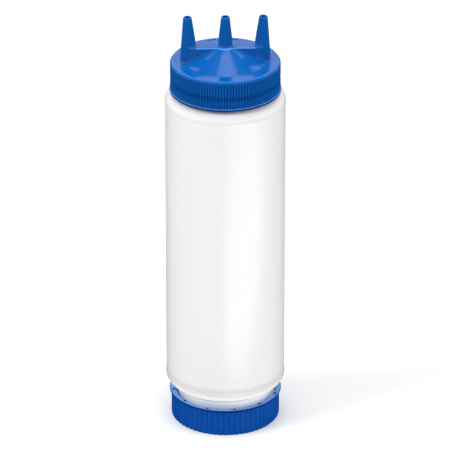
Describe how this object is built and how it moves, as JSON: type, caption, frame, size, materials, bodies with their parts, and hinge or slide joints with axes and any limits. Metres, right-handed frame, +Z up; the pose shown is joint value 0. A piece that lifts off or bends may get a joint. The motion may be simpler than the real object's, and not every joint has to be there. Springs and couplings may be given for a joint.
{
  "type": "dual-ended squeeze bottle",
  "caption": "Translucent cylindrical sauce squeeze bottle, open through a screw neck at both ends, with a blue three-nozzle dispensing cap on top and a blue ribbed refill cap as its foot.",
  "frame": {"origin": "middle of the refill cap's foot, on the table", "axes": "+Z up along the bottle's axis, the three nozzles in line along X"},
  "size_m": [0.07, 0.07, 0.2564],
  "materials": {
    "milky_body": "translucent natural low-density polyethylene, satin gloss",
    "dispensing_blue": "blue injection-moulded polyethylene, satin gloss",
    "refill_blue": "blue injection-moulded polyethylene, satin gloss",
    "seal": "soft white foamed polyethylene sealing ring"
  },
  "bodies": {
    "bottle": {"bottle_body": "milky_body"},
    "upper_seal": {"dispensing_cap_gasket": "seal"},
    "dispensing_cap": {"dispensing_cap": "dispensing_blue"},
    "lower_seal": {"refill_cap_gasket": "seal"},
    "refill_cap": {"refill_cap": "refill_blue"}
  },
  "joints": [
    {"name": "dispensing_cap_lift", "type": "slide", "parent": "bottle", "child": "upper_seal", "axis": [0, 0, 1], "range_m": [0, 0.0156]},
    {"name": "dispensing_cap_turn", "type": "hinge", "parent": "upper_seal", "child": "dispensing_cap", "pos_m": [0, 0, 0.229], "axis": [0, 0, 1], "range_deg": [0, 1080]},
    {"name": "refill_cap_lift", "type": "slide", "parent": "bottle", "child": "lower_seal", "axis": [0, 0, -1], "range_m": [0, 0.0117]},
    {"name": "refill_cap_turn", "type": "hinge", "parent": "lower_seal", "child": "refill_cap", "pos_m": [0, 0, 0.0038], "axis": [0, 0, -1], "range_deg": [0, 810]}
  ],
  "couplings": [
    {"joint": "dispensing_cap_turn", "follows": "dispensing_cap_lift", "rad_per_m": 1208.3},
    {"joint": "refill_cap_turn", "follows": "refill_cap_lift", "rad_per_m": 1208.3}
  ]
}
